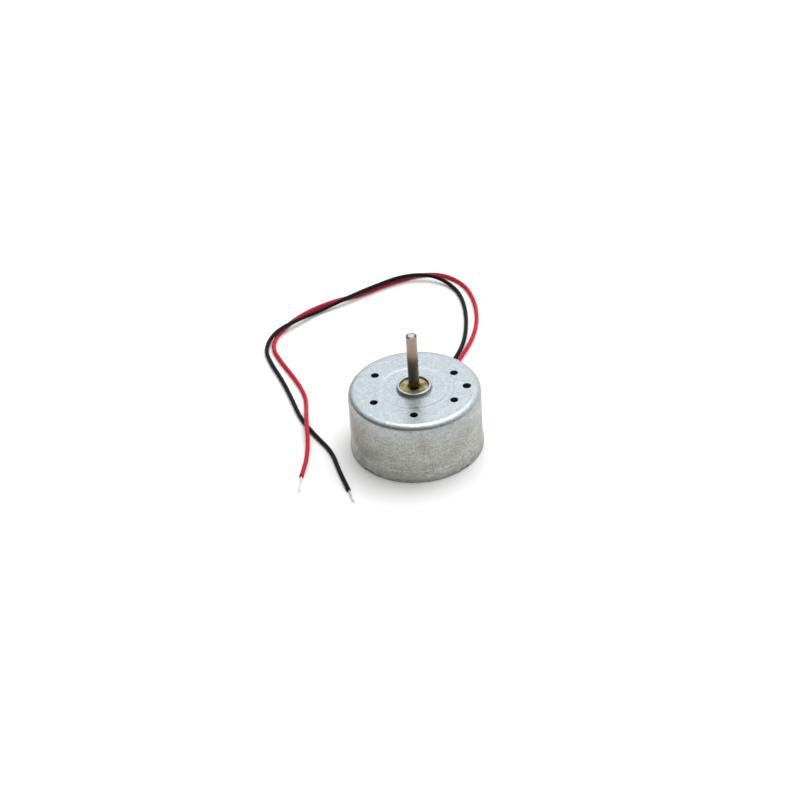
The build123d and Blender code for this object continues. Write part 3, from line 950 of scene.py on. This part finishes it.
def lead_routes() -> tuple[Route, Route, Route, Route]:
    """The middle lines of the two leads and of their bare ends. The leads lie on the floor. Along
    the far bend and at the left bend the black one rests on the red one, and near the ends the
    red one crosses over it. Each leaves the can at its route's second point.

    Returns:
        The red and black leads' points, and the red and black bare ends' points.
    """
    floor, slope, hump = 0.0004, 0.00075, 0.00135
    red = [
        (0.002306, 0.008302, floor),
        (0.003138, 0.012214, floor),
        (0.0047, 0.0162, floor),
        (0.0064, 0.0216, floor),
        (0.0088, 0.0272, floor),
        (0.0109, 0.0330, floor),
        (0.0118, 0.0395, floor),
        (0.0112, 0.0464, floor),
        (0.0091, 0.0524, floor),
        (0.0046, 0.0563, floor),
        (-0.0007, 0.0562, floor),
        (-0.0062, 0.0534, floor),
        (-0.0120, 0.0496, floor),
        (-0.0182, 0.0473, floor),
        (-0.0240, 0.0429, floor),
        (-0.0279, 0.0372, floor),
        (-0.0291, 0.0318, floor),
        (-0.0268, 0.0264, floor),
        (-0.0239, 0.0209, floor),
        (-0.0216, 0.0153, floor),
        (-0.0212, 0.0112, floor),
        (-0.02095, 0.0070, hump),
        (-0.0206, 0.0032, hump),
        (-0.0203, -0.0010, slope),
        (-0.0204, -0.0046, floor),
        (-0.02075, -0.0074, floor),
        (-0.0211, -0.0098, floor),
    ]
    black = [
        (0.001270, 0.008522, floor),
        (0.002101, 0.012435, floor),
        (0.0036, 0.0162, floor),
        (0.0052, 0.0216, floor),
        (0.0077, 0.0268, floor),
        (0.0092, 0.0324, floor),
        (0.0096, 0.0394, floor),
        (0.0090, 0.0462, floor),
        (0.0072, 0.0513, floor),
        (0.0029, 0.0547, hump),
        (-0.0030, 0.0548, hump),
        (-0.0085, 0.0516, hump),
        (-0.0146, 0.0472, hump),
        (-0.0205, 0.0439, floor),
        (-0.0247, 0.0396, hump),
        (-0.0288, 0.0356, hump),
        (-0.0304, 0.0312, floor),
        (-0.0290, 0.0265, floor),
        (-0.0264, 0.0206, floor),
        (-0.0242, 0.0144, floor),
        (-0.0221, 0.0077, floor),
        (-0.0190, 0.0022, floor),
        (-0.01575, -0.0028, floor),
        (-0.0142, -0.0088, floor),
        (-0.0123, -0.0143, floor),
    ]
    sagging, tip = 0.00028, 0.0002
    red_end = [
        (-0.02114, -0.0110, floor),
        (-0.0212, -0.0126, sagging),
        (-0.0213, -0.0141, tip),
    ]
    black_end = [
        (-0.01195, -0.0153, floor),
        (-0.01175, -0.0165, sagging),
        (-0.0111, -0.0176, tip),
    ]
    return red, black, red_end, black_end


def both_leads(tinned: bpy.types.Material) -> list[Lead]:
    """Prepares the two leads and their finishes.

    Args:
        tinned: The bare strands' finish.

    Returns:
        The red lead and the black one, not built yet.
    """
    red, black, red_end, black_end = lead_routes()
    red_skin = Insulation(
        "red_insulation", (0.50, 0.014, 0.032), (0.60, 0.026, 0.042), length_mm=139.0, seed=81.0
    )
    black_skin = Insulation(
        "black_insulation",
        (0.004, 0.0039, 0.0045),
        (0.008, 0.0078, 0.0085),
        length_mm=141.0,
        seed=91.0,
    )
    return [
        Lead(
            "red",
            red,
            red_end,
            red_skin.build(),
            tinned,
            stated_length=0.139,
            splay=0.1,
            short_share=0.0,
            seed=1.0,
        ),
        Lead(
            "black",
            black,
            black_end,
            black_skin.build(),
            tinned,
            stated_length=0.141,
            splay=1.3,
            short_share=0.4,
            seed=2.0,
        ),
    ]


@dataclass
class Winding:
    """One coil of enamelled wire round a pole's neck, from near the hub out to the pole's tip.
    Its pairs are a half width and a half height."""

    letter: str
    turn_deg: float
    material: bpy.types.Material
    near: float = 3.32 * MM
    far: float = 7.28 * MM
    middle_height: float = 7.8 * MM
    neck_half: tuple[float, float] = (1.2 * MM, 1.8 * MM)
    least_half: tuple[float, float] = (1.25 * MM, 1.85 * MM)
    swell_by: tuple[float, float] = (2.85 * MM, 0.56 * MM)
    swell_from: float = 0.12
    swell_to: float = 0.92
    end_share: float = 0.12
    wire_depth: float = 0.045 * MM
    wire_rows: int = 26
    samples_a_row: int = 6
    neck_rings: int = 12
    round_count: int = 96
    coil_power: float = 0.5
    neck_power: float = 0.16

    def build(self) -> None:
        """Makes the coil: rings about the neck are rounded rectangles. Their width swells with
        part of a half sine wave, from the hub to just past half way out, and falls again. Their
        height rises with the square root over each end's share. Both are ribbed by one half
        wave a row of wire. The rings then come back along the neck, so that the surface closes
        on itself."""
        outer_count = self.wire_rows * self.samples_a_row + 1
        share = np.linspace(0, 1, outer_count)
        phase = self.swell_from + (self.swell_to - self.swell_from) * share**1.25
        swell = np.sin(math.pi * phase) ** 0.75
        rise = np.minimum(1, (np.minimum(share, 1 - share) / self.end_share) ** 0.5)
        rib = self.wire_depth * np.abs(np.sin(math.pi * self.wire_rows * share))
        neck = np.ones(self.neck_rings)

        outwards = self.near + (self.far - self.near) * share
        places = np.concatenate([outwards, np.linspace(self.far, self.near, self.neck_rings)])
        width = self.least_half[0] + self.swell_by[0] * swell + rib
        widths = np.concatenate([width, self.neck_half[0] * neck])[:, None]
        height = self.least_half[1] + self.swell_by[1] * rise + rib
        heights = np.concatenate([height, self.neck_half[1] * neck])[:, None]
        power = np.full(outer_count, self.coil_power)
        powers = np.concatenate([power, self.neck_power * neck])[:, None]

        turn = np.linspace(0, 2 * math.pi, self.round_count, endpoint=False)[None, :]
        across = widths * squared(np.cos(turn), powers)
        up = heights * squared(np.sin(turn), powers)
        out = np.broadcast_to(places[:, None], across.shape)
        angle = math.radians(self.turn_deg)
        x = out * math.cos(angle) - across * math.sin(angle)
        y = out * math.sin(angle) + across * math.cos(angle)
        shape = lattice(np.stack([x, y, up + self.middle_height], -1), Ends.LOOP)
        coil = shape.to_object(f"winding_{self.letter}", self.material, sharp_deg=75)
        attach(coil, "rotor")
        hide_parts(f"coil_{self.letter}")
        LOG.info("%s: %d faces", coil.name, len(coil.data.polygons))


@dataclass
class SolderJoint:
    """The solder under one terminal's foot, with the lead's tinned end run into it."""

    pole: str
    material: bpy.types.Material
    flow: float = 0.62
    sag: float = 0.8
    lobes: int = 3
    lobe_depth: float = 0.05
    rows: int = 28
    round_count: int = 64

    def build(self) -> None:
        """Makes the joint: the lower half of a rounded block, flat against the terminal. Ring k is
        the block's outline drawn in as a rounded curve falls from the terminal to the lowest
        point, with a slow wave round it where the solder ran."""
        low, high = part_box(f"{self.pole}_solder_joint")
        middle, half = (low + high) / 2, (high - low) / 2
        fall = np.linspace(0, math.pi / 2, self.rows)[:, None]
        turn = np.linspace(0, 2 * math.pi, self.round_count, endpoint=False)[None, :]
        wave = self.lobe_depth * (1 + np.sin(self.lobes * turn + 1.0)) * np.sin(fall)
        draw_in = np.cos(fall) ** self.flow * (1 - wave)
        x = middle.x + half.x * draw_in * squared(np.cos(turn), self.flow)
        y = middle.y + half.y * draw_in * squared(np.sin(turn), self.flow)
        z = high.z - (high.z - low.z) * np.sin(fall) ** self.sag + 0 * turn
        shape = lattice(np.stack([x, y, z], -1)[::-1])
        joint = shape.to_object(f"{self.pole}_solder", self.material)
        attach(joint, "stator")
        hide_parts(f"{self.pole}_solder_joint")
        LOG.info("%s: %d faces", joint.name, len(joint.data.polygons))


@dataclass
class ModelPieces:
    """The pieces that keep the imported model's shape and get their finish here."""

    materials: dict[str, bpy.types.Material]

    def build(self) -> None:
        """Gives each shown piece the finish of its material slot."""
        slots = {part["node"]: part["material_slot"] for part in frame["record"]["subparts"]}
        for name, piece in sorted(frame["nodes"].items()):
            if piece.hide_render:
                continue
            piece.data.materials.clear()
            piece.data.materials.append(self.materials[slots[name]])
            LOG.info("%s: %s", name, slots[name])


# ------------------------------------------------------------------ studio
@dataclass(frozen=True)
class Camera:
    """A camera placed round a point by its direction and distance, then turned a little."""

    target: Triple = (0.0, 0.0, 12.3 * MM)
    azimuth_deg: float = 2.489
    elevation_deg: float = 35.866
    distance: float = 391.4 * MM
    pan_deg: float = 0.398
    tilt_deg: float = -0.299
    roll_deg: float = 3.424
    lens: float = 96.57
    sensor: float = 36.0
    clip_start: float = 0.01
    clip_end: float = 20.0

    def build(self) -> None:
        """Makes the camera and lets the scene use it."""
        azimuth, elevation = math.radians(self.azimuth_deg), math.radians(self.elevation_deg)
        back = Vector(
            (
                math.sin(azimuth) * math.cos(elevation),
                -math.cos(azimuth) * math.cos(elevation),
                math.sin(elevation),
            )
        )
        ahead = -back
        right = ahead.cross(Vector(UP)).normalized()
        above = right.cross(ahead)
        pan = Matrix.Rotation(math.radians(self.pan_deg), 3, above)
        ahead, right = pan @ ahead, pan @ right
        tilt = Matrix.Rotation(math.radians(self.tilt_deg), 3, right)
        ahead, above = tilt @ ahead, tilt @ above
        roll = Matrix.Rotation(math.radians(self.roll_deg), 3, ahead)
        right, above = roll @ right, roll @ above
        data = bpy.data.cameras.new("camera")
        data.lens = self.lens
        data.sensor_width = self.sensor
        data.clip_start, data.clip_end = self.clip_start, self.clip_end
        camera = bpy.data.objects.new("camera", data)
        camera.matrix_world = Matrix((right, above, -ahead)).transposed().to_4x4()
        camera.location = Vector(self.target) + back * self.distance
        bpy.context.scene.collection.objects.link(camera)
        bpy.context.scene.camera = camera


@dataclass(frozen=True)
class SoftBox:
    """A square area light that faces the motor."""

    name: str
    place: Triple
    width: float
    watts: float

    def build(self) -> None:
        """Makes the light."""
        data = bpy.data.lights.new(self.name, "AREA")
        data.shape = "SQUARE"
        data.size = self.width
        data.energy = self.watts
        light = bpy.data.objects.new(self.name, data)
        light.location = self.place
        light.rotation_euler = Vector(self.place).to_track_quat("Z", "Y").to_euler()
        bpy.context.scene.collection.objects.link(light)


@dataclass(frozen=True)
class Studio:
    """A pale floor in a room whose light comes from above and behind, and whose front is dim and
    warm. The room's colour follows the cosine of the angle to its bright side."""

    floor_half: float = 1.5
    floor_drop: float = 0.02 * MM
    floor_colour: Colour = (0.93, 0.915, 0.90)
    floor_cloud: Colour = (0.85, 0.85, 0.86)
    bright_side: Triple = (0.27, 0.45, 0.85)
    sky: Colour = (0.93, 0.98, 1.0)
    dim_room: Colour = (0.12, 0.10, 0.085)
    dim_below: float = 0.05
    bright_above: float = 0.85
    sky_strength: float = 1.3
    overhead: SoftBox = SoftBox("overhead", place=(0.12, 0.21, 0.73), width=0.5, watts=2.8)

    def floor(self) -> None:
        """Makes the floor just under the motor. Seen from below it is clear, so that the
        motor's underside shows."""
        half, z = self.floor_half, -self.floor_drop
        mesh = bpy.data.meshes.new("floor")
        corners = [(-half, -half, z), (half, -half, z), (half, half, z), (-half, half, z)]
        mesh.from_pydata(corners, [], [(0, 1, 2, 3)])
        s = Surface("floor_paper")
        cloud = s.patches(size_mm=60.0, contrast=1.5, seed=71.0)
        colour = s.mix(s.share(cloud, 0.05), self.floor_colour, self.floor_cloud)
        s.finish(colour, 0.75, [])
        clear = s.add("BsdfTransparent")
        facing = s.add("NewGeometry").outputs["Backfacing"]
        seen = s.add("MixShader", {0: facing, 1: s.shader.outputs[0], 2: clear.outputs[0]})
        s.put(s.tree.nodes["Material Output"].inputs["Surface"], seen.outputs[0])
        mesh.materials.append(s.material)
        floor = bpy.data.objects.new("floor", mesh)
        bpy.context.scene.collection.objects.link(floor)

    def light(self) -> None:
        """Makes the sky, which brightens towards its bright side, and the soft box."""
        world = bpy.data.worlds.new("studio")
        world.use_nodes = True
        tree = Tree(world.node_tree)
        towards = tree.add("TexCoord").outputs["Generated"]
        inputs = {0: towards, 1: self.bright_side}
        facing = tree.add("VectorMath", inputs, operation="DOT_PRODUCT").outputs["Value"]
        lit = tree.span(facing, self.dim_below, self.bright_above)
        colour = tree.mix(lit, self.dim_room, self.sky)
        background = world.node_tree.nodes["Background"]
        tree.put(background.inputs["Color"], colour)
        tree.put(background.inputs["Strength"], self.sky_strength)
        bpy.context.scene.world = world
        self.overhead.build()

    def build(self) -> None:
        """Makes the floor and the light, and shows colours as they are."""
        self.floor()
        self.light()
        bpy.context.scene.view_settings.view_transform = "Standard"


# ------------------------------------------------------------------ everything
def main() -> None:
    """Builds the scene."""
    logging.basicConfig(level=logging.INFO, format="%(name)s: %(message)s")
    Camera().build()
    materials = plain_finishes()
    for lead in both_leads(materials["tinned_wire"]):
        lead.build()
    for number, letter in enumerate("abc"):
        Winding(letter, 120.0 * number, materials["magnet_wire"]).build()
    for pole in ("positive", "negative"):
        SolderJoint(pole, materials["solder"]).build()
    ModelPieces(materials).build()
    Studio().build()


if __name__ == "__main__":
    main()
